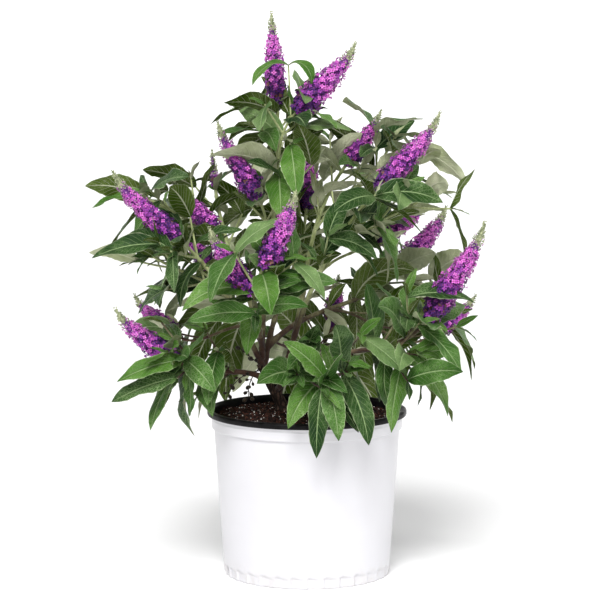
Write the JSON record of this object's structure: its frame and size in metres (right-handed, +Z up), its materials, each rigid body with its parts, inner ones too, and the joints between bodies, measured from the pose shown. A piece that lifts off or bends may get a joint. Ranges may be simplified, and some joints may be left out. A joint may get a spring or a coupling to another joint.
{
  "type": "butterfly bush in a nursery pot",
  "caption": "Young butterfly bush in a round nursery pot: thin forked canes with opposite arching leaves and cones of small violet flowers at their ends.",
  "frame": {"origin": "centre of the pot's flat underside", "axes": "+Z up along the pot's axis, -Y towards the viewer, +X to the viewer's right"},
  "size_m": [0.4803, 0.4307, 0.6747],
  "materials": {
    "pot": "satin white plastic",
    "potting_mix": "loose bark and peat mix",
    "bark": "young brown bark",
    "foliage": "soft green leaves with violet flowers"
  },
  "bodies": {
    "root": {"pot": "pot", "potting_mix": "potting_mix", "trunk": "bark", "bough_crown": "bark", "bough_upper_left": "bark", "bough_left": "bark", "bough_left_low": "bark", "bough_front": "bark", "bough_front_low": "bark", "bough_right_upper": "bark", "bough_upper_right": "bark", "bough_right": "bark", "bough_back": "bark", "bough_back_left": "bark", "bough_back_right": "bark", "bough_back_low": "bark", "foliage_crown": "foliage", "foliage_upper_left": "foliage", "foliage_left": "foliage", "foliage_left_low": "foliage", "foliage_front": "foliage", "foliage_front_low": "foliage", "foliage_right_upper": "foliage", "foliage_upper_right": "foliage", "foliage_right": "foliage", "foliage_back": "foliage", "foliage_back_left": "foliage", "foliage_back_right": "foliage", "foliage_back_low": "foliage"}
  },
  "joints": []
}
